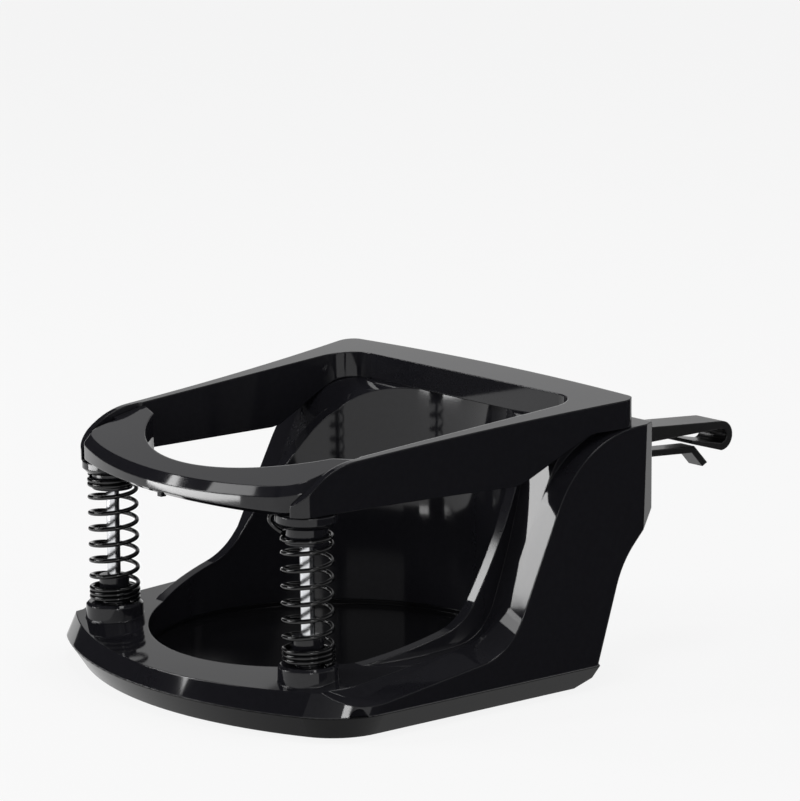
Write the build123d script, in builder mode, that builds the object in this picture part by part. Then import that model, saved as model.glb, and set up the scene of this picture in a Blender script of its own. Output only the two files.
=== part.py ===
import os
from math import cos, hypot, pi, radians, sin, sqrt

from build123d import *

os.makedirs("parts", exist_ok=True)

# Air-vent cup holder in millimetres. The well's axis is X = Y = 0, the underside is Z = 0,
# -Y is the front with the two springs and +Y is the side that hooks into the vent.

# Tray and base cover
well_radius = 36.6
well_wall = 2.4
floor_height = 3.5
seam_height = 4.5
base_half_width = 46.7
base_front = 47.4
base_rear = 39.6
front_arc_radius = 81.0
rear_arc_radius = 110.0
front_corner_radius = 15.0
rear_corner_radius = 8.0
least_corner_radius = 2.0
skirt_slope = 0.55
cover_inset = 3.0
cover_rear_inset = 5.0
cover_heel_height = 1.8
cover_heel_inset = 1.2
notch_radius = 2.6
notch_depth = 1.0
notch_angle = -20.0

# Side sweep of the body: height at Y = 0 and rise of the front run, and where it turns up
rim_height = 11.9
rim_rise = 0.087
rim_half_width = 40.4
fender_height = 9.3
fender_rise = 0.14
lip_height = 15.6
lip_rise = 0.28
lip_reach = 8.0
knee_y = 6.6
lip_knee_y = 1.5
knee_radius = 13.0
crown_y = 25.7
crown_radius = 24.0
block_crown_radius = 13.0
body_top = 48.2
body_top_rise = 0.05
fender_draft = 1.4
fender_overrun = 1.0
rear_face = 44.6
rear_plate_bottom = 33.2
rear_knee_y = 35.4
rear_knee_z = 24.0
rear_knee_radius = 20.0
rear_foot = 28.6
rear_bevel_side = 2.4
rear_bevel_length = 5.2

# Spring posts
post_side_inset = 14.9
post_y = -30.5
boss_top = 12.3
boss_radius = 5.7
boss_flare = 0.25
boss_edge = 0.5
sleeve_radius = 3.0
sleeve_top = 17.5
rod_radius = 1.35
rod_running_clearance = 0.05
rod_seat_clearance = 0.03
rod_seat_depth = 8.0
bar_travel = 6.0
rod_end_gap = 0.4
spring_radius = 4.8
spring_wire = 0.87
closed_pitch = 0.9
closed_turns_below = 3.0
closed_turns_above = 2.0
active_turns = 6.4
steps_per_turn = 9
spigot_bottom = 35.3
spigot_radius = 4.0
spigot_height = 3.3
shoulder_radius = 5.9
shoulder_edge = 1.0

# Upper frame
frame_bottom = 41.2
frame_top = 52.43
frame_top_rise = 0.083
frame_rear = 42.3
frame_rear_bow = 2.2
frame_side_inset = 1.2
arm_wall = 1.1
arm_bow = 1.8
arm_lift_y = 14.0
arm_lift_end_y = 30.0
arm_lift_radius = 8.0
inner_flare = 0.03
bridge_inner = 33.3
bridge_corner_radius = 7.0
ring_front = 43.0
ring_arc_radius = 88.0
ring_corner_radius = 4.0
frame_rear_corner_radius = 3.0
nose_wall = 1.6
nose_straight = 4.8436
nose_y = -29.0
nose_fall = 0.95
nose_radius = 17.0
nose_reach = 5.4
peg_radius = 1.5
peg_length = 6.0
peg_x = 18.0
peg_y = 38.6

# Front bar
bar_bottom = 41.0
bar_radius = 36.5
bar_depth = 5.5
bar_rise = 0.22
bar_edge = 1.5
bar_side_reach = 3.6
bar_corner_radius = 7.0
bar_clearance = 0.3
bar_lip_height = 1.0
bar_lip_inset = 1.6
horn_width = 6.4
horn_radius = 2.2
lug_setback = 4.0
lug_length = 3.5
lug_depth = 0.8
lug_height = 2.4
lug_gap = 0.15
nub_size = 1.2
nub_height = 0.7

# Vent clips, as side points (Y, Z)
clip_inset = 16.1
clip_width = 8.0
clip_tongue = 6.0
blade_root_top = 47.2
blade_root_bottom = 43.5
roll_y = 72.6
roll_z = 42.4
roll_radius = 3.0
roll_wall = 1.5
lip_y = 64.5
lip_z = 42.1
finger_width = 4.0
finger_root_top = 42.0
finger_thickness = 1.3
finger_knee_y = 67.0
finger_knee_z = 40.7
finger_tip_y = 70.6
finger_tip_z = 36.9
pocket_clearance = 0.1

# Cover screws
screw_inset = 6.9
screw_front_y = -16.0
screw_rear_y = 17.0
screw_head_radius = 2.2
screw_head_height = 1.4
screw_shank_radius = 0.9
screw_length = 5.0
screw_clearance = 0.1
screw_sink = 0.4

far = 70.0
tiny = 1e-6
sides = ((-1, "left"), (1, "right"))
post_x = base_half_width - post_side_inset
clip_x = base_half_width - clip_inset
screw_x = base_half_width - screw_inset
bar_half_width = post_x + bar_side_reach
ring_half_width = bar_half_width + nose_wall
inner_half_width = ring_half_width - arm_wall
nose_tip_x = ring_half_width - nose_reach
horn_inner_x = bar_half_width - horn_width
horn_end = horn_radius - sqrt(bar_radius**2 - horn_inner_x**2)
lug_y = horn_end - lug_setback - lug_length / 2
bar_inner_height = bar_bottom + bar_depth
spring_bottom = boss_top
spring_top = spigot_bottom + spigot_height
rod_bottom = seam_height + rod_end_gap + bar_travel
root_bottom = finger_root_top - finger_thickness
peg_bottom = body_top + body_top_rise * peg_y - peg_length
screw_places = [(x, y) for x in (-screw_x, screw_x) for y in (screw_front_y, screw_rear_y)]


def arc_height(radius, half_chord):
    """How far an arc's middle stands out from its chord."""
    return radius - sqrt(radius**2 - half_chord**2)


def line_of(start, slope):
    """Height of a sloped side line at any Y."""
    return lambda y: start + slope * y


body_top_at = line_of(body_top, body_top_rise)
frame_top_at = line_of(frame_top, frame_top_rise)
bar_top_at = line_of(bar_inner_height + bar_rise * bar_radius, bar_rise)


def tray_outline(height, front_inset=0.0, side_inset=0.0, rear_inset=0.0):
    """Plan of the tray: arced front and rear, straight sides, rounded corners."""
    half = base_half_width - side_inset
    front = base_front - front_inset
    rear = base_rear - rear_inset
    front_side = arc_height(front_arc_radius - front_inset, half) - front
    rear_side = rear - arc_height(rear_arc_radius - rear_inset, half)
    with BuildSketch(Plane.XY.offset(height)) as outline:
        with BuildLine():
            ThreePointArc((-half, front_side), (0, -front), (half, front_side))
            Line((half, front_side), (half, rear_side))
            ThreePointArc((half, rear_side), (0, rear), (-half, rear_side))
            Line((-half, rear_side), (-half, front_side))
        make_face()
        front_corners = outline.vertices().filter_by_position(Axis.Y, -far, 0)
        rear_corners = outline.vertices().filter_by_position(Axis.Y, 0, far)
        fillet(front_corners, max(front_corner_radius - front_inset, least_corner_radius))
        fillet(rear_corners, max(rear_corner_radius - rear_inset, least_corner_radius))
    return outline.sketch


def flank_outline(height, front_inset, side_inset):
    """Plan of the tray's front and sides, run straight back past the rear plate."""
    half = base_half_width - side_inset
    front = base_front - front_inset
    front_side = arc_height(front_arc_radius, half) - front
    with BuildSketch(Plane.XY.offset(height)) as outline:
        with BuildLine():
            ThreePointArc((-half, front_side), (0, -front), (half, front_side))
            Polyline((half, front_side), (half, far), (-half, far), (-half, front_side))
        make_face()
        fillet(outline.vertices().filter_by_position(Axis.Y, -far, 0), front_corner_radius)
    return outline.sketch


def sweep_section(x, height, rise, turn_y, crown=crown_radius):
    """Side view under a sweep: a front run, the steep run up from turn_y and the flat top."""
    front_at = line_of(height, rise)
    rear_end = rear_face + far
    with BuildSketch(Plane.YZ.offset(x)) as section:
        with BuildLine():
            FilletPolyline(
                (-far, front_at(-far)),
                (turn_y, front_at(turn_y)),
                (crown_y, body_top_at(crown_y)),
                (rear_end, body_top_at(rear_end)),
                radius=[knee_radius, crown],
            )
            Polyline(
                (rear_end, body_top_at(rear_end)),
                (rear_end, -far),
                (-far, -far),
                (-far, front_at(-far)),
            )
        make_face()
    return section.sketch


def rim_section(x, crown=crown_radius):
    return sweep_section(x, rim_height, rim_rise, knee_y, crown)


def lip_section(x):
    return sweep_section(x, lip_height, lip_rise, lip_knee_y)


def fender_section(x):
    return sweep_section(x, fender_height, fender_rise, knee_y)


def back_view():
    """Side view of all that lies ahead of the rear plate and the curved run under it."""
    with BuildSketch(Plane.YZ.offset(-far)) as view:
        with BuildLine():
            Polyline(
                (rear_foot, seam_height),
                (rear_foot, 0),
                (-far, 0),
                (-far, far),
                (rear_face, far),
                (rear_face, rear_plate_bottom),
            )
            FilletPolyline(
                (rear_face, rear_plate_bottom),
                (rear_knee_y, rear_knee_z),
                (rear_foot, seam_height),
                radius=rear_knee_radius,
            )
        make_face()
    return view.sketch


# Flanks: both fenders and the block between them, ahead of the curved back
with BuildPart() as flanks:
    loft([rim_section(rim_half_width), fender_section(base_half_width + fender_overrun)])
    loft([lip_section(rim_half_width - lip_reach), rim_section(rim_half_width)])
    mirror(about=Plane.YZ)
    extrude(rim_section(-rim_half_width, block_crown_radius), amount=2 * rim_half_width)
    extrude(back_view(), amount=2 * far, mode=Mode.INTERSECT)
    flank_top = body_top_at(rear_face) + fender_overrun
    flank_front_inset = skirt_slope * (flank_top - seam_height)
    loft(
        [flank_outline(seam_height, 0, 0), flank_outline(flank_top, flank_front_inset, fender_draft)],
        mode=Mode.INTERSECT,
    )
    with BuildSketch(Plane.XY):
        for side, name in sides:
            bevel_x = side * (base_half_width - rear_bevel_side)
            bevel_y = rear_face - rear_bevel_length
            with BuildLine():
                Polyline(
                    (bevel_x, rear_face),
                    (side * base_half_width, bevel_y),
                    (side * far, bevel_y),
                    (side * far, far),
                    (bevel_x, far),
                    close=True,
                )
            make_face()
    extrude(amount=far, mode=Mode.SUBTRACT)

# Tray: skirt that leans inwards, cut to the rising rim
with BuildPart() as tray:
    skirt_inset = skirt_slope * (rim_height - seam_height)
    rim_inset = base_half_width - rim_half_width
    loft([tray_outline(seam_height), tray_outline(rim_height, skirt_inset, rim_inset, skirt_inset)])
    extrude(rim_section(-far), amount=2 * far, mode=Mode.INTERSECT)

# Rear wall of the well, cut to the lip
with BuildPart() as wall:
    with BuildSketch(Plane.XY.offset(seam_height)):
        Circle(well_radius + well_wall)
    extrude(amount=far)
    extrude(lip_section(-far), amount=2 * far, mode=Mode.INTERSECT)

# Body: one moulding of tray, fenders, rear block, bosses and sleeves
post_places = [(-post_x, post_y), (post_x, post_y)]
with BuildPart() as body:
    add(tray.part)
    add(flanks.part)
    add(wall.part)
    for side, name in sides:
        with BuildSketch(Plane.XZ.offset(-post_y)):
            with BuildLine():
                Polyline(
                    (side * post_x, seam_height),
                    (side * (post_x + boss_radius + boss_flare), seam_height),
                    (side * (post_x + boss_radius), boss_top),
                    (side * (post_x + sleeve_radius), boss_top),
                    (side * (post_x + sleeve_radius), sleeve_top),
                    (side * post_x, sleeve_top),
                    close=True,
                )
            make_face()
        revolve(axis=Axis((side * post_x, post_y, 0), (0, 0, 1)))
    circles = body.edges().filter_by(GeomType.CIRCLE)
    chamfer(circles.filter_by(lambda edge: abs(edge.radius - boss_radius) < tiny), boss_edge)
    with BuildSketch(Plane.XY):
        Circle(well_radius)
        with Locations(*post_places):
            Circle(rod_radius + rod_running_clearance)
    extrude(amount=2 * far, mode=Mode.SUBTRACT)
    # Half-moon notch in the lower edge at the right front corner, where the cover is prised off
    corner_x = base_half_width - front_corner_radius
    corner_reach = sqrt((front_arc_radius - front_corner_radius) ** 2 - corner_x**2)
    corner_y = front_arc_radius - base_front - corner_reach
    notch_reach = front_corner_radius + notch_radius - notch_depth
    notch_x = corner_x + notch_reach * cos(radians(notch_angle))
    notch_y = corner_y + notch_reach * sin(radians(notch_angle))
    with Locations((notch_x, notch_y, seam_height)):
        Sphere(notch_radius, mode=Mode.SUBTRACT)
    # Pockets for the clips' roots, holes for the frame's pegs and the cover's screws
    root_height = blade_root_top - root_bottom
    root_middle = (blade_root_top + root_bottom) / 2
    with BuildSketch(Plane.XZ.offset(-rear_face)):
        with Locations((-clip_x, root_middle), (clip_x, root_middle)):
            Rectangle(clip_width + 2 * pocket_clearance, root_height + 2 * pocket_clearance)
    extrude(amount=clip_tongue + pocket_clearance, mode=Mode.SUBTRACT)
    with BuildSketch(Plane.XY.offset(peg_bottom - pocket_clearance)):
        with Locations((-peg_x, peg_y), (peg_x, peg_y)):
            Circle(peg_radius + pocket_clearance)
    extrude(amount=far, mode=Mode.SUBTRACT)
    with BuildSketch(Plane.XY.offset(seam_height)):
        with Locations(*screw_places):
            Circle(screw_shank_radius + screw_clearance)
    extrude(amount=screw_length, mode=Mode.SUBTRACT)
body.part.label = "body"
export_step(body.part, "parts/body.step")

# Base cover: tapered pan under the seam, round at the rear, with the floor of the well
with BuildPart() as base_cover:
    heel_front_inset = cover_inset * (1 - cover_heel_height / seam_height)
    loft(
        [
            tray_outline(0, cover_inset, cover_inset, cover_rear_inset),
            tray_outline(cover_heel_height, heel_front_inset, heel_front_inset, cover_heel_inset),
            tray_outline(seam_height),
        ],
        ruled=True,
    )
    with BuildSketch(Plane.XY.offset(floor_height)):
        Circle(well_radius)
    extrude(amount=far, mode=Mode.SUBTRACT)
    with BuildSketch(Plane.XY):
        with Locations(*screw_places):
            Circle(screw_shank_radius + screw_clearance)
    extrude(amount=seam_height, mode=Mode.SUBTRACT)
    with BuildSketch(Plane.XY):
        with Locations(*screw_places):
            Circle(screw_head_radius + screw_clearance)
    extrude(amount=screw_sink + screw_head_height, mode=Mode.SUBTRACT)
base_cover.part.label = "base_cover"
export_step(base_cover.part, "parts/base_cover.step")

# Cover screws: pan heads sunk in the cover, shanks up into the body
with BuildPart() as cover_screws:
    with BuildSketch(Plane.XY.offset(screw_sink)):
        with Locations(*screw_places):
            Circle(screw_head_radius)
    extrude(amount=screw_head_height)
    with BuildSketch(Plane.XY.offset(screw_sink + screw_head_height)):
        with Locations(*screw_places):
            Circle(screw_shank_radius)
    extrude(amount=screw_length)
cover_screws.part.label = "cover_screws"
export_step(cover_screws.part, "parts/cover_screws.step")


def ring_outline(height):
    """Plan of frame and bar together: arced front and rear, sides that bow out to the rear."""
    front_side = arc_height(ring_arc_radius, ring_half_width) - ring_front
    rear_half_width = base_half_width - frame_side_inset
    rear_side = frame_rear - frame_rear_bow
    bow_x = (ring_half_width + rear_half_width) / 2 - arm_bow
    nose_root_y = front_side + nose_straight
    bow_y = (nose_root_y + rear_side) / 2
    with BuildSketch(Plane.XY.offset(height)) as outline:
        with BuildLine():
            ThreePointArc((-ring_half_width, front_side), (0, -ring_front), (ring_half_width, front_side))
            for side, name in sides:
                nose_root = (side * ring_half_width, nose_root_y)
                Line((side * ring_half_width, front_side), nose_root)
                ThreePointArc(nose_root, (side * bow_x, bow_y), (side * rear_half_width, rear_side))
            ThreePointArc((-rear_half_width, rear_side), (0, frame_rear), (rear_half_width, rear_side))
        make_face()
        nose_corners = outline.vertices().filter_by_position(Axis.Y, -far, front_side + tiny)
        fillet(nose_corners, ring_corner_radius)
        fillet(outline.vertices().filter_by_position(Axis.Y, 0, far), frame_rear_corner_radius)
    return outline.sketch


def frame_view():
    """Side view of the frame: sloped top that falls at the nose, arms lifted over the body."""
    nose_z = frame_top_at(nose_y)
    nose_foot_y = nose_y - (nose_z - frame_bottom) / nose_fall
    with BuildSketch(Plane.YZ.offset(-far)) as view:
        with BuildLine():
            FilletPolyline(
                (far, frame_top_at(far)),
                (nose_y, nose_z),
                (nose_foot_y, frame_bottom),
                radius=nose_radius,
            )
            FilletPolyline(
                (nose_foot_y, frame_bottom),
                (arm_lift_y, frame_bottom),
                (arm_lift_end_y, body_top_at(arm_lift_end_y)),
                (far, body_top_at(far)),
                radius=arm_lift_radius,
            )
            Line((far, body_top_at(far)), (far, frame_top_at(far)))
        make_face()
    return view.sketch


def bar_outline(height, front_inset=0.0, grow=0.0):
    """Plan of the front bar: arced front, round horns beside the arms, round inner edge."""
    front = ring_front - front_inset
    corner_y = arc_height(ring_arc_radius, bar_half_width) - front
    horn_inner_y = horn_end - horn_radius
    with BuildSketch(Plane.XY.offset(height)) as outline:
        with BuildLine():
            ThreePointArc((-bar_half_width, corner_y), (0, -front), (bar_half_width, corner_y))
            Line((bar_half_width, corner_y), (bar_half_width, horn_end))
            Line((bar_half_width, horn_end), (horn_inner_x, horn_inner_y))
            ThreePointArc((horn_inner_x, horn_inner_y), (0, -bar_radius), (-horn_inner_x, horn_inner_y))
            Line((-horn_inner_x, horn_inner_y), (-bar_half_width, horn_end))
            Line((-bar_half_width, horn_end), (-bar_half_width, corner_y))
        make_face()
        front_corners = outline.vertices().filter_by_position(Axis.Y, -far, corner_y + tiny)
        fillet(front_corners, bar_corner_radius)
        horn_corners = outline.vertices().filter_by_position(Axis.Y, horn_inner_y - tiny, 0)
        fillet(horn_corners, horn_radius / 2)
        if grow:
            offset(amount=grow)
    return outline.sketch


def lug_outline(height, grow=0.0):
    """Plan of the stop lugs on the outer sides of the horns."""
    with BuildSketch(Plane.XY.offset(height)) as outline:
        with Locations((-bar_half_width, lug_y), (bar_half_width, lug_y)):
            Rectangle(2 * (lug_depth + grow), lug_length + 2 * grow)
    return outline.sketch


# Upper frame: two arms and a rear bridge that sit on the body
with BuildPart() as upper_frame:
    extrude(ring_outline(0), amount=far)
    extrude(frame_view(), amount=2 * far, mode=Mode.INTERSECT)
    with BuildSketch(Plane.XY) as opening:
        inner_front = inner_half_width + inner_flare * horn_end
        inner_rear = inner_half_width + inner_flare * bridge_inner
        with BuildLine():
            Polyline(
                (-inner_front, horn_end),
                (-inner_rear, bridge_inner),
                (inner_rear, bridge_inner),
                (inner_front, horn_end),
                (nose_tip_x, -far),
                (-nose_tip_x, -far),
                close=True,
            )
        make_face()
        fillet(opening.vertices().filter_by_position(Axis.Y, 0, far), bridge_corner_radius)
    extrude(amount=far, mode=Mode.SUBTRACT)
    extrude(bar_outline(0, grow=bar_clearance), amount=far, mode=Mode.SUBTRACT)
    extrude(lug_outline(0, bar_clearance), amount=bar_bottom + lug_height + lug_gap, mode=Mode.SUBTRACT)
    with BuildSketch(Plane.XY.offset(peg_bottom)):
        with Locations((-peg_x, peg_y), (peg_x, peg_y)):
            Circle(peg_radius)
    extrude(amount=frame_top - peg_bottom)
upper_frame.part.label = "upper_frame"
export_step(upper_frame.part, "parts/upper_frame.step")


def bar_view(front, rear):
    """Side view of the front bar between two Y places: flat underside, top that rises rearwards."""
    with BuildSketch(Plane.YZ.offset(-far)) as view:
        with BuildLine():
            Polyline(
                (front, bar_bottom),
                (rear, bar_bottom),
                (rear, bar_top_at(rear)),
                (front, bar_top_at(front)),
                close=True,
            )
        make_face()
    return view.sketch


def bar_length(front, rear):
    """The bar's crescent between two Y places, with its lower front edge set back to a lip."""
    lip_top = bar_bottom + bar_lip_height
    with BuildPart() as crescent:
        loft([bar_outline(bar_bottom, bar_lip_inset), bar_outline(lip_top)])
        extrude(bar_outline(lip_top), amount=far)
        extrude(bar_view(front, rear), amount=2 * far, mode=Mode.INTERSECT)
    return crescent.part


def at_front(edge):
    """Whether an edge of the bar runs along its front or round a front corner."""
    middle = edge.center()
    return middle.Y < post_y and hypot(middle.X, middle.Y) > bar_radius + bar_edge


# Front bar: crescent with a sloped top, a boss under each end and stop lugs
horn_root_y = lug_y - lug_length / 2
front_length = bar_length(-ring_front - bar_clearance, horn_root_y)
horn_length = bar_length(horn_root_y, 0)
with BuildPart() as bar_front:
    add(front_length)
    top_edges = bar_front.faces().sort_by(Axis.Z)[-1].edges()
    chamfer(top_edges.filter_by(at_front), bar_edge)
with BuildPart() as front_bar:
    add(bar_front.part)
    add(horn_length)
    extrude(lug_outline(bar_bottom), amount=lug_height)
    with BuildSketch(Plane.XY.offset(bar_bottom - nub_height)):
        with Locations((0, bar_lip_inset + nub_size / 2 - ring_front)):
            Rectangle(nub_size, nub_size)
    extrude(amount=nub_height)
    with BuildSketch(Plane.XY.offset(spring_top)):
        with Locations(*post_places):
            Circle(shoulder_radius)
    extrude(amount=bar_bottom - spring_top)
    chamfer(front_bar.faces().group_by(Axis.Z)[0].edges(), shoulder_edge)
    with BuildSketch(Plane.XY.offset(spigot_bottom)):
        with Locations(*post_places):
            Circle(spigot_radius)
    extrude(amount=spigot_height)
    with BuildSketch(Plane.XY.offset(spigot_bottom)):
        with Locations(*post_places):
            Circle(rod_radius + rod_seat_clearance)
    extrude(amount=rod_seat_depth, mode=Mode.SUBTRACT)
front_bar.part.label = "front_bar"
export_step(front_bar.part, "parts/front_bar.step")

# Guide rods, one at either front corner
for side, name in sides:
    with BuildPart() as guide_rod:
        with BuildSketch(Plane.XY.offset(rod_bottom)):
            with Locations((side * post_x, post_y)):
                Circle(rod_radius)
        extrude(amount=spigot_bottom + rod_seat_depth - rod_bottom)
    guide_rod.part.label = f"guide_rod_{name}"
    export_step(guide_rod.part, f"parts/guide_rod_{name}.step")


def coil_height(turn):
    """Height of the wire's middle after so many turns: closed, open, closed."""
    open_height = spring_top - spring_bottom - spring_wire
    open_height -= closed_pitch * (closed_turns_below + closed_turns_above)
    open_turn = min(max(turn - closed_turns_below, 0), active_turns)
    closed_height = closed_pitch * (turn - open_turn)
    return spring_bottom + spring_wire / 2 + closed_height + open_height * open_turn / active_turns


# Springs: wire coiled in straight steps round the rods, close at both ends
coil_turns = closed_turns_below + active_turns + closed_turns_above
turns = [step / steps_per_turn for step in range(int(coil_turns * steps_per_turn) + 1)]
for side, name in sides:
    path = [
        (
            side * post_x + spring_radius * cos(2 * pi * turn),
            post_y + spring_radius * sin(2 * pi * turn),
            coil_height(turn),
        )
        for turn in turns
    ]
    with BuildPart() as spring:
        with BuildLine() as coil:
            Polyline(*path)
        with BuildSketch(Plane(origin=path[0], x_dir=(1, 0, 0), z_dir=coil.line % 0)):
            RegularPolygon(spring_wire / 2, 4)
        sweep(path=coil.line, transition=Transition.RIGHT)
    spring.part.label = f"spring_{name}"
    export_step(spring.part, f"parts/spring_{name}.step")


def clip_blade_view(x):
    """Side view of a clip's root and of its blade, which rolls back under itself."""
    roll_inner = roll_radius - roll_wall
    lip_half = roll_wall / 4
    with BuildSketch(Plane.YZ.offset(x)) as view:
        with BuildLine():
            Line((rear_face, blade_root_top), (roll_y, roll_z + roll_radius))
            ThreePointArc(
                (roll_y, roll_z + roll_radius),
                (roll_y + roll_radius, roll_z),
                (roll_y, roll_z - roll_radius),
            )
            Polyline(
                (roll_y, roll_z - roll_radius),
                (lip_y, lip_z - lip_half),
                (lip_y, lip_z + lip_half),
                (roll_y, roll_z - roll_inner),
            )
            ThreePointArc(
                (roll_y, roll_z - roll_inner),
                (roll_y + roll_inner, roll_z),
                (roll_y, roll_z + roll_inner),
            )
            Polyline(
                (roll_y, roll_z + roll_inner),
                (rear_face, blade_root_bottom),
                (rear_face, root_bottom),
                (rear_face - clip_tongue, root_bottom),
                (rear_face - clip_tongue, blade_root_top),
                (rear_face, blade_root_top),
            )
        make_face()
    return view.sketch


def clip_finger_view(x):
    """Side view of a clip's finger, bent down at its tip."""
    with BuildSketch(Plane.YZ.offset(x)) as view:
        with BuildLine():
            Polyline(
                (rear_face - clip_tongue, finger_root_top),
                (rear_face, finger_root_top),
                (finger_knee_y, finger_knee_z),
                (finger_tip_y, finger_tip_z),
                (finger_tip_y - finger_thickness, finger_tip_z - finger_thickness / 2),
                (finger_knee_y - finger_thickness / 2, finger_knee_z - finger_thickness),
                (rear_face, root_bottom),
                (rear_face - clip_tongue, root_bottom),
                close=True,
            )
        make_face()
    return view.sketch


# Vent clips: hooked blade over a springy finger, joined in a root set in the body
for side, name in sides:
    with BuildPart() as vent_clip:
        extrude(clip_blade_view(side * clip_x - clip_width / 2), amount=clip_width)
        extrude(clip_finger_view(side * clip_x - finger_width / 2), amount=finger_width)
    vent_clip.part.label = f"vent_clip_{name}"
    export_step(vent_clip.part, f"parts/vent_clip_{name}.step")
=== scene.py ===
from math import cos, pi, radians, sin

import bpy
from mathutils import Matrix, Vector


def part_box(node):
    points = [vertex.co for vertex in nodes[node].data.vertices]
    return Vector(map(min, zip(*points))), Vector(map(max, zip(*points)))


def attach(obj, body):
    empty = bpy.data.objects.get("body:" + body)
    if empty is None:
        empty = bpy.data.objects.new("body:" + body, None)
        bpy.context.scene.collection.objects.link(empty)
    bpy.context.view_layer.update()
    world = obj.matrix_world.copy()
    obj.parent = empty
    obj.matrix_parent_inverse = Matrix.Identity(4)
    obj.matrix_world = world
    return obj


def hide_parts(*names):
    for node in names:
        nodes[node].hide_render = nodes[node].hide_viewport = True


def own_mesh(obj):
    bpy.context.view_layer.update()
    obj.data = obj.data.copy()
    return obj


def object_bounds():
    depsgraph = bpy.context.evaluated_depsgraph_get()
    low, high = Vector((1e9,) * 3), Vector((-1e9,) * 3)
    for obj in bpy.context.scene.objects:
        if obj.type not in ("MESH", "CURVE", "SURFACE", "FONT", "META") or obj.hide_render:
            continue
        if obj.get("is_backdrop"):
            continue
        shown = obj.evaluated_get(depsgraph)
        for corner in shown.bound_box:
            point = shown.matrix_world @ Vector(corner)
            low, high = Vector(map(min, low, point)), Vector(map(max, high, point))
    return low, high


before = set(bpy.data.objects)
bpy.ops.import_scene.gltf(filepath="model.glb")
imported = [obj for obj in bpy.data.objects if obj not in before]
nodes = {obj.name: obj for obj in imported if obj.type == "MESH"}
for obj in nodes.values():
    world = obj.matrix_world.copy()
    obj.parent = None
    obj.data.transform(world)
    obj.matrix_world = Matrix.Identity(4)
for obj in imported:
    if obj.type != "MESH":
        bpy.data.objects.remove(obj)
cad_low, cad_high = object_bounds()


# Camera: long lens at the front right corner, a little above the holder and looking down on it.
# Its place, its turns and its lens, which is given in pixels, were fitted to the photograph.
camera_place = Vector((0.5594, -0.4311, 0.1892))
camera_yaw = 141.283
camera_pitch = -10.872
camera_roll = -0.368
focal_pixels = 3667.0
image_height = 801.0
sensor_width = 36.0
nearest_seen = 0.05
farthest_seen = 20.0
camera = bpy.data.objects.new("camera", bpy.data.cameras.new("camera"))
camera.data.sensor_width = sensor_width
camera.data.lens = focal_pixels * sensor_width / image_height
camera.data.clip_start = nearest_seen
camera.data.clip_end = farthest_seen
turn = Matrix.Rotation(radians(camera_yaw - 90), 4, "Z")
tilt = Matrix.Rotation(radians(90 + camera_pitch), 4, "X")
roll = Matrix.Rotation(radians(camera_roll), 4, "Z")
camera.matrix_world = Matrix.Translation(camera_place) @ turn @ tilt @ roll
bpy.context.scene.collection.objects.link(camera)
bpy.context.scene.camera = camera


# Body: one injection moulding of black ABS from a polished tool. The tray, the swept fenders,
# the rear block and the two spring bosses are all in it. The tool's small edge radius is given to
# its finish, which turns how the edges catch the light and leaves the solid as it is.
plastic_ior = 1.49
edge_samples = 6


def group_socket(group, name, way, kind, value=None):
    """Adds a named input or output to a node group."""
    socket = group.interface.new_socket(name=name, in_out=way, socket_type=kind)
    if value is not None:
        socket.default_value = value
    return socket


def moulded_skin_group():
    """Slow sink ripple and fine orange peel of a moulded skin, with a little haze in the gloss."""
    group = bpy.data.node_groups.new("moulded_skin", "ShaderNodeTree")
    group_socket(group, "Ripple Scale", "INPUT", "NodeSocketFloat", 45.0)
    group_socket(group, "Peel Scale", "INPUT", "NodeSocketFloat", 900.0)
    group_socket(group, "Peel Share", "INPUT", "NodeSocketFloat", 0.1)
    group_socket(group, "Gloss Low", "INPUT", "NodeSocketFloat", 0.05)
    group_socket(group, "Gloss High", "INPUT", "NodeSocketFloat", 0.09)
    group_socket(group, "Roughness", "OUTPUT", "NodeSocketFloat")
    group_socket(group, "Height", "OUTPUT", "NodeSocketFloat")
    group_socket(group, "Shade", "OUTPUT", "NodeSocketFloat")
    tree, links = group.nodes, group.links
    inputs = tree.new("NodeGroupInput")
    outputs = tree.new("NodeGroupOutput")
    place = tree.new("ShaderNodeTexCoord")
    ripple = tree.new("ShaderNodeTexNoise")
    ripple.inputs["Detail"].default_value = 1.0
    peel = tree.new("ShaderNodeTexNoise")
    peel.inputs["Detail"].default_value = 3.0
    links.new(place.outputs["Object"], ripple.inputs["Vector"])
    links.new(place.outputs["Object"], peel.inputs["Vector"])
    links.new(inputs.outputs["Ripple Scale"], ripple.inputs["Scale"])
    links.new(inputs.outputs["Peel Scale"], peel.inputs["Scale"])
    height = tree.new("ShaderNodeMix")
    links.new(inputs.outputs["Peel Share"], height.inputs["Factor"])
    links.new(ripple.outputs["Fac"], height.inputs["A"])
    links.new(peel.outputs["Fac"], height.inputs["B"])
    haze = tree.new("ShaderNodeMix")
    links.new(ripple.outputs["Fac"], haze.inputs["Factor"])
    links.new(inputs.outputs["Gloss Low"], haze.inputs["A"])
    links.new(inputs.outputs["Gloss High"], haze.inputs["B"])
    links.new(haze.outputs["Result"], outputs.inputs["Roughness"])
    links.new(height.outputs["Result"], outputs.inputs["Height"])
    links.new(peel.outputs["Fac"], outputs.inputs["Shade"])
    return group


moulded_skin = moulded_skin_group()


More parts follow.
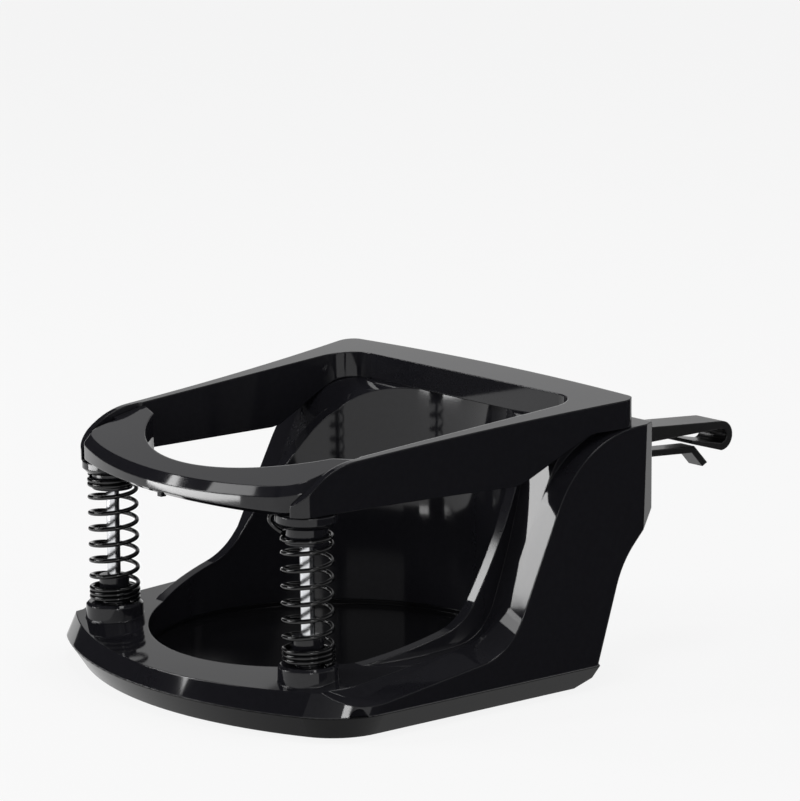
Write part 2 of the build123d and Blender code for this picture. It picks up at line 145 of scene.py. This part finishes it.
def plastic_material(name, dark, light, gloss, ripple_height, peel_share, specular, edge_radius):
    """Black moulded plastic: two near shades, gloss between two values, a shallow bump, soft edges."""
    material = bpy.data.materials.new(name)
    material.use_nodes = True
    tree, links = material.node_tree.nodes, material.node_tree.links
    shader = tree["Principled BSDF"]
    shader.inputs["IOR"].default_value = plastic_ior
    shader.inputs["Specular IOR Level"].default_value = specular
    skin = tree.new("ShaderNodeGroup")
    skin.node_tree = moulded_skin
    skin.inputs["Gloss Low"].default_value = gloss[0]
    skin.inputs["Gloss High"].default_value = gloss[1]
    skin.inputs["Peel Share"].default_value = peel_share
    shade = tree.new("ShaderNodeMix")
    shade.data_type = "RGBA"
    shade.inputs["A"].default_value = (*dark, 1)
    shade.inputs["B"].default_value = (*light, 1)
    edge = tree.new("ShaderNodeBevel")
    edge.samples = edge_samples
    edge.inputs["Radius"].default_value = edge_radius
    bump = tree.new("ShaderNodeBump")
    bump.inputs["Strength"].default_value = 1.0
    bump.inputs["Distance"].default_value = ripple_height
    links.new(skin.outputs["Shade"], shade.inputs["Factor"])
    links.new(shade.outputs["Result"], shader.inputs["Base Color"])
    links.new(skin.outputs["Roughness"], shader.inputs["Roughness"])
    links.new(skin.outputs["Height"], bump.inputs["Height"])
    links.new(edge.outputs["Normal"], bump.inputs["Normal"])
    links.new(bump.outputs["Normal"], shader.inputs["Normal"])
    return material


def dress(node, material):
    """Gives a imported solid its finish."""
    nodes[node].data.materials.clear()
    nodes[node].data.materials.append(material)


gloss_black = plastic_material(
    "gloss_black_plastic",
    dark=(0.0150, 0.0148, 0.0185),
    light=(0.0210, 0.0207, 0.0255),
    gloss=(0.04, 0.075),
    ripple_height=0.00002,
    peel_share=0.03,
    specular=0.45,
    edge_radius=0.00035,
)
dress("body", gloss_black)


# Base cover: tapered pan that closes the tray from below and carries the floor of the well.
# It is moulded in the same black ABS, a shade less polished, and screwed to the body.
cover_black = plastic_material(
    "cover_black_plastic",
    dark=(0.0065, 0.0065, 0.0076),
    light=(0.0095, 0.0095, 0.0110),
    gloss=(0.14, 0.20),
    ripple_height=0.00002,
    peel_share=0.06,
    specular=0.12,
    edge_radius=0.0004,
)
dress("base_cover", cover_black)


# Cover screws: four plain steel pan-head screws with rolled threads. They hold the base cover to
# the body, with their heads sunk in the underside of the cover.
screw_gloss = (0.25, 0.45)
screw_dark = (0.34, 0.34, 0.36)
screw_light = (0.50, 0.50, 0.52)
screw_steel = bpy.data.materials.new("screw_steel")
screw_steel.use_nodes = True
screw_nodes = screw_steel.node_tree.nodes
screw_links = screw_steel.node_tree.links
screw_shader = screw_nodes["Principled BSDF"]
screw_shader.inputs["Metallic"].default_value = 1.0
screw_skin = screw_nodes.new("ShaderNodeGroup")
screw_skin.node_tree = moulded_skin
screw_skin.inputs["Gloss Low"].default_value = screw_gloss[0]
screw_skin.inputs["Gloss High"].default_value = screw_gloss[1]
screw_shade = screw_nodes.new("ShaderNodeMix")
screw_shade.data_type = "RGBA"
screw_shade.inputs["A"].default_value = (*screw_dark, 1)
screw_shade.inputs["B"].default_value = (*screw_light, 1)
screw_links.new(screw_skin.outputs["Shade"], screw_shade.inputs["Factor"])
screw_links.new(screw_shade.outputs["Result"], screw_shader.inputs["Base Color"])
screw_links.new(screw_skin.outputs["Roughness"], screw_shader.inputs["Roughness"])
dress("cover_screws", screw_steel)


# Upper frame: two arms and a rear bridge, one moulding in the same gloss-black ABS as the body.
# Two pegs under the bridge fix it in the top of the body's rear block.
dress("upper_frame", gloss_black)


# Front bar: separate crescent between the arms' noses, moulded in the same gloss-black ABS. It
# rides on the two guide rods and can be pressed down against the springs.
dress("front_bar", gloss_black)


# Guide rods: two rods of bright plated steel, ground to size. Each is pressed into a boss of the
# front bar and slides in the tray's sleeve below it.
rod_dark = (0.70, 0.71, 0.73)
rod_light = (0.82, 0.83, 0.85)
rod_gloss = (0.14, 0.24)
grinding_stretch = (40, 40, 2600)


def plated_material():
    """Bright plating over a ground rod, with the fine rings of the grinding in shade and gloss."""
    material = bpy.data.materials.new("bright_plated_steel")
    material.use_nodes = True
    tree, links = material.node_tree.nodes, material.node_tree.links
    shader = tree["Principled BSDF"]
    shader.inputs["Metallic"].default_value = 1.0
    place = tree.new("ShaderNodeTexCoord")
    stretch = tree.new("ShaderNodeMapping")
    stretch.inputs["Scale"].default_value = grinding_stretch
    rings = tree.new("ShaderNodeTexNoise")
    rings.inputs["Scale"].default_value = 1.0
    shade = tree.new("ShaderNodeMix")
    shade.data_type = "RGBA"
    shade.inputs["A"].default_value = (*rod_dark, 1)
    shade.inputs["B"].default_value = (*rod_light, 1)
    gloss = tree.new("ShaderNodeMix")
    gloss.inputs["A"].default_value = rod_gloss[0]
    gloss.inputs["B"].default_value = rod_gloss[1]
    links.new(place.outputs["Object"], stretch.inputs["Vector"])
    links.new(stretch.outputs["Vector"], rings.inputs["Vector"])
    links.new(rings.outputs["Fac"], shade.inputs["Factor"])
    links.new(rings.outputs["Fac"], gloss.inputs["Factor"])
    links.new(shade.outputs["Result"], shader.inputs["Base Color"])
    links.new(gloss.outputs["Result"], shader.inputs["Roughness"])
    return material


plated_steel = plated_material()
for side in ("left", "right"):
    dress(f"guide_rod_{side}", plated_steel)


# Springs: round black-coated steel wire, coiled close at both ends and held between the tray's
# boss and the bar's shoulder. The right wire leaves its top coil a turn sooner, and its end loops
# out and up to the bar.
spring_low, spring_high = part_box("spring_right")
wire_radius = 0.00045
coil_radius = (spring_high.x - spring_low.x) / 2 - wire_radius
closed_pitch = 0.0009
closed_below = 3.0
closed_above = {"left": 2.2, "right": 1.2}
active_turns = 6.4
start_angle = radians(6)
steps_per_turn = 40
ring_points = 12
tail_reach = 0.0024
tail_rise = 0.0056
tail_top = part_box("front_bar")[0].z + tail_rise
tail_sweep = 0.75 * pi
tail_steps = 18


def coil_height(turns):
    """Height of the wire's middle after so many turns: closed, open and closed again."""
    room = spring_high.z - spring_low.z - 2 * wire_radius
    open_room = room - closed_pitch * (closed_below + closed_above["left"])
    opened = min(max(turns - closed_below, 0), active_turns)
    return spring_low.z + wire_radius + closed_pitch * (turns - opened) + open_room * opened / active_turns


def wire_path(side, centre_x, centre_y):
    """Middle line of the wire: the coils and, on the right spring, a tail that loops out and up."""
    total = closed_below + active_turns + closed_above[side]
    count = int(total * steps_per_turn)
    points = []
    for step in range(count + 1):
        turns = total * step / count
        angle = start_angle + 2 * pi * turns
        points.append(
            Vector(
                (
                    centre_x + coil_radius * cos(angle),
                    centre_y + coil_radius * sin(angle),
                    coil_height(turns),
                )
            )
        )
    if side == "left":
        return points
    end = points[-1]
    outward = Vector((end.x - centre_x, end.y - centre_y, 0)).normalized()
    for step in range(1, tail_steps + 1):
        share = step / tail_steps
        bulge = tail_reach * sin(tail_sweep * share)
        points.append(end + outward * bulge + Vector((0, 0, (tail_top - end.z) * share)))
    return points


def wire_mesh(name, path):
    """Round tube along a path, with closed ends."""
    rings, faces = [], []
    across = (path[1] - path[0]).cross(Vector((0, 0, 1)))
    for index, point in enumerate(path):
        before = path[max(index - 1, 0)]
        after = path[min(index + 1, len(path) - 1)]
        along = (after - before).normalized()
        across = (across - along * across.dot(along)).normalized()
        up = across.cross(along)
        for corner in range(ring_points):
            angle = 2 * pi * corner / ring_points
            rings.append(point + wire_radius * (cos(angle) * across + sin(angle) * up))
    for index in range(len(path) - 1):
        first = index * ring_points
        second = first + ring_points
        for corner in range(ring_points):
            other = (corner + 1) % ring_points
            faces.append((first + corner, first + other, second + other, second + corner))
    faces.append(tuple(reversed(range(ring_points))))
    faces.append(tuple(range(len(rings) - ring_points, len(rings))))
    mesh = bpy.data.meshes.new(name)
    mesh.from_pydata(rings, [], faces)
    mesh.polygons.foreach_set("use_smooth", [True] * len(mesh.polygons))
    mesh.update()
    return mesh


wire_black = plastic_material(
    "black_coated_wire",
    dark=(0.0035, 0.0035, 0.0040),
    light=(0.0070, 0.0070, 0.0080),
    gloss=(0.06, 0.12),
    ripple_height=0.00001,
    peel_share=0.3,
    specular=0.5,
    edge_radius=0.0001,
)
for side in ("left", "right"):
    low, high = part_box(f"spring_{side}")
    middle = (low + high) / 2
    spring = bpy.data.objects.new(
        f"coil_spring_{side}",
        wire_mesh(f"coil_spring_{side}", wire_path(side, middle.x, middle.y)),
    )
    spring.data.materials.append(wire_black)
    bpy.context.scene.collection.objects.link(spring)
    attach(spring, "holder")
    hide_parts(f"spring_{side}")
    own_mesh(spring)


# Vent clips: a hooked blade over a springy finger, which grip a slat of the vent between them.
# Each is moulded in satin black nylon and set in a pocket in the rear of the body.
clip_black = plastic_material(
    "satin_black_nylon",
    dark=(0.0060, 0.0060, 0.0064),
    light=(0.0105, 0.0105, 0.0110),
    gloss=(0.28, 0.36),
    ripple_height=0.00003,
    peel_share=0.5,
    specular=0.5,
    edge_radius=0.0003,
)
for side in ("left", "right"):
    dress(f"vent_clip_{side}", clip_black)


# Floor: plain pale sheet under the holder, which runs on as the backdrop. The camera and the gloss
# see it with a glow of its own, and the holder's soft shadow stays on it.
floor_size = 6.0
floor_gap = 0.0002
floor_tone = (0.15, 0.15, 0.151)
floor_roughness = 0.9
floor_glow_strength = 0.87
floor_pale = bpy.data.materials.new("pale_floor")
floor_pale.use_nodes = True
floor_nodes = floor_pale.node_tree.nodes
floor_links = floor_pale.node_tree.links
floor_shader = floor_nodes["Principled BSDF"]
floor_shader.inputs["Base Color"].default_value = (*floor_tone, 1)
floor_shader.inputs["Roughness"].default_value = floor_roughness
floor_shader.inputs["Specular IOR Level"].default_value = 0.0
floor_shader.inputs["Emission Color"].default_value = (1, 1, 1, 1)


def background_mask(tree, links):
    """One where the camera, a gloss or a clear piece looks at the background."""
    path = tree.new("ShaderNodeLightPath")
    total = path.outputs["Is Camera Ray"]
    for ray in ("Is Glossy Ray", "Is Transmission Ray"):
        joined = tree.new("ShaderNodeMath")
        joined.operation = "MAXIMUM"
        links.new(total, joined.inputs[0])
        links.new(path.outputs[ray], joined.inputs[1])
        total = joined.outputs["Value"]
    return total


floor_glow = floor_nodes.new("ShaderNodeMath")
floor_glow.operation = "MULTIPLY"
floor_glow.inputs[1].default_value = floor_glow_strength
floor_links.new(background_mask(floor_nodes, floor_links), floor_glow.inputs[0])
floor_links.new(floor_glow.outputs["Value"], floor_shader.inputs["Emission Strength"])


def sheet(name, corners, material):
    """Flat four-cornered sheet of the studio, which is no piece of the holder."""
    mesh = bpy.data.meshes.new(name)
    mesh.from_pydata(corners, [], [(0, 1, 2, 3)])
    mesh.materials.append(material)
    flat = bpy.data.objects.new(name, mesh)
    bpy.context.scene.collection.objects.link(flat)
    flat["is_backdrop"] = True
    return flat


half = floor_size / 2
floor_z = cad_low.z - floor_gap
sheet(
    "floor",
    [(-half, -half, floor_z), (half, -half, floor_z), (half, half, floor_z), (-half, half, floor_z)],
    floor_pale,
)


# Black cards: flags of the studio, one flat on the floor at the right and two upright at the left
# and the front, which only the gloss sees. They give the polished sides their black.
flag_dark = (0.010, 0.010, 0.012)
flag_light = (0.020, 0.020, 0.024)
flag_black = bpy.data.materials.new("flag_black")
flag_black.use_nodes = True
flag_nodes = flag_black.node_tree.nodes
flag_shade = flag_nodes.new("ShaderNodeTexNoise")
flag_tone = flag_nodes.new("ShaderNodeMix")
flag_tone.data_type = "RGBA"
flag_tone.inputs["A"].default_value = (*flag_dark, 1)
flag_tone.inputs["B"].default_value = (*flag_light, 1)
flag_black.node_tree.links.new(flag_shade.outputs["Fac"], flag_tone.inputs["Factor"])
flag_black.node_tree.links.new(
    flag_tone.outputs["Result"], flag_nodes["Principled BSDF"].inputs["Base Color"]
)
flag_nodes["Principled BSDF"].inputs["Roughness"].default_value = 1.0


def flag(name, corners):
    """Black card that is seen in reflections alone."""
    card = sheet(name, corners, flag_black)
    card.visible_camera = False
    card.visible_diffuse = False
    card.visible_shadow = False
    return card


flag_left, flag_right = 0.056, 0.55
flag_front, flag_back = -0.03, 0.60
flag(
    "right_flag",
    [
        (flag_left, flag_front, 0),
        (flag_right, flag_front, 0),
        (flag_right, flag_back, 0),
        (flag_left, flag_back, 0),
    ],
)


flag_distance = 0.95
flag_height = 1.05
left_bearing, corner_bearing, front_bearing = 158, 214, 275


def upright_flag(name, from_angle, to_angle):
    """Upright black card between two bearings, counted from +X, seen from the holder."""
    ends = []
    for angle in (from_angle, to_angle):
        ends.append((flag_distance * cos(radians(angle)), flag_distance * sin(radians(angle))))
    first, last = ends
    return flag(name, [(*first, 0), (*last, 0), (*last, flag_height), (*first, flag_height)])


upright_flag("left_flag", left_bearing, corner_bearing)
upright_flag("front_flag", corner_bearing, front_bearing)


# Studio: one soft box at the left front, which draws the bright band on the fender, and one overhead.
# Three bright cards, which only the gloss sees, carry that band round the knee and draw the streaks
# on the front bar and on the front right corner.
lamp_target = Vector((0, 0, 0.03))


def soft_box(name, place, width, height, power, gloss_only=False):
    """Rectangular area lamp that faces the holder, or a bright card that only the gloss sees."""
    lamp = bpy.data.lights.new(name, "AREA")
    lamp.shape = "RECTANGLE"
    lamp.size = width
    lamp.size_y = height
    lamp.energy = power
    light = bpy.data.objects.new(name, lamp)
    light.location = place
    aim = lamp_target - Vector(place)
    light.rotation_euler = aim.to_track_quat("-Z", "Y").to_euler()
    light.visible_camera = False
    light.visible_diffuse = not gloss_only
    bpy.context.scene.collection.objects.link(light)
    return light


soft_box("left_soft_box", place=(-0.507, -0.449, 0.393), width=0.276, height=0.15, power=1.22)
soft_box("top_soft_box", place=(0.1, 0.1, 1.0), width=0.4, height=0.4, power=2.0)
bright_cards = {
    "knee_card": dict(place=(-0.387, -0.461, 0.496), width=0.16, height=0.29, power=0.58),
    "low_card": dict(place=(-0.082, -0.152, 0.014), width=0.11, height=0.0072, power=0.0298),
    "front_card": dict(place=(0.746, -0.348, 0.283), width=0.16, height=0.10, power=0.6),
}
for name, card in bright_cards.items():
    soft_box(name, gloss_only=True, **card)

# White studio walls all round, which darken with height.
fade_start, fade_end = 0.10, 0.60
wall_white = (1, 1, 1)
ceiling_dark = (0.08, 0.08, 0.085)
lighting_strength = 1.0
seen_strength = 0.94
world = bpy.data.worlds.new("studio")
bpy.context.scene.world = world
world.use_nodes = True
world_nodes = world.node_tree.nodes
world_links = world.node_tree.links
walls = world_nodes["Background"]
bearing = world_nodes.new("ShaderNodeTexCoord")
height = world_nodes.new("ShaderNodeSeparateXYZ")
overhead = world_nodes.new("ShaderNodeMapRange")
overhead.inputs["From Min"].default_value = fade_start
overhead.inputs["From Max"].default_value = fade_end
wall_tone = world_nodes.new("ShaderNodeMix")
wall_tone.data_type = "RGBA"
wall_tone.inputs["A"].default_value = (*wall_white, 1)
wall_tone.inputs["B"].default_value = (*ceiling_dark, 1)
world_links.new(bearing.outputs["Generated"], height.inputs["Vector"])
world_links.new(height.outputs["Z"], overhead.inputs["Value"])
world_links.new(overhead.outputs["Result"], wall_tone.inputs["Factor"])
world_links.new(wall_tone.outputs["Result"], walls.inputs["Color"])
wall_strength = world_nodes.new("ShaderNodeMix")
wall_strength.inputs["A"].default_value = lighting_strength
wall_strength.inputs["B"].default_value = seen_strength
world_links.new(background_mask(world_nodes, world_links), wall_strength.inputs["Factor"])
world_links.new(wall_strength.outputs["Result"], walls.inputs["Strength"])

bpy.context.scene.view_settings.view_transform = "Standard"

low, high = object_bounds()
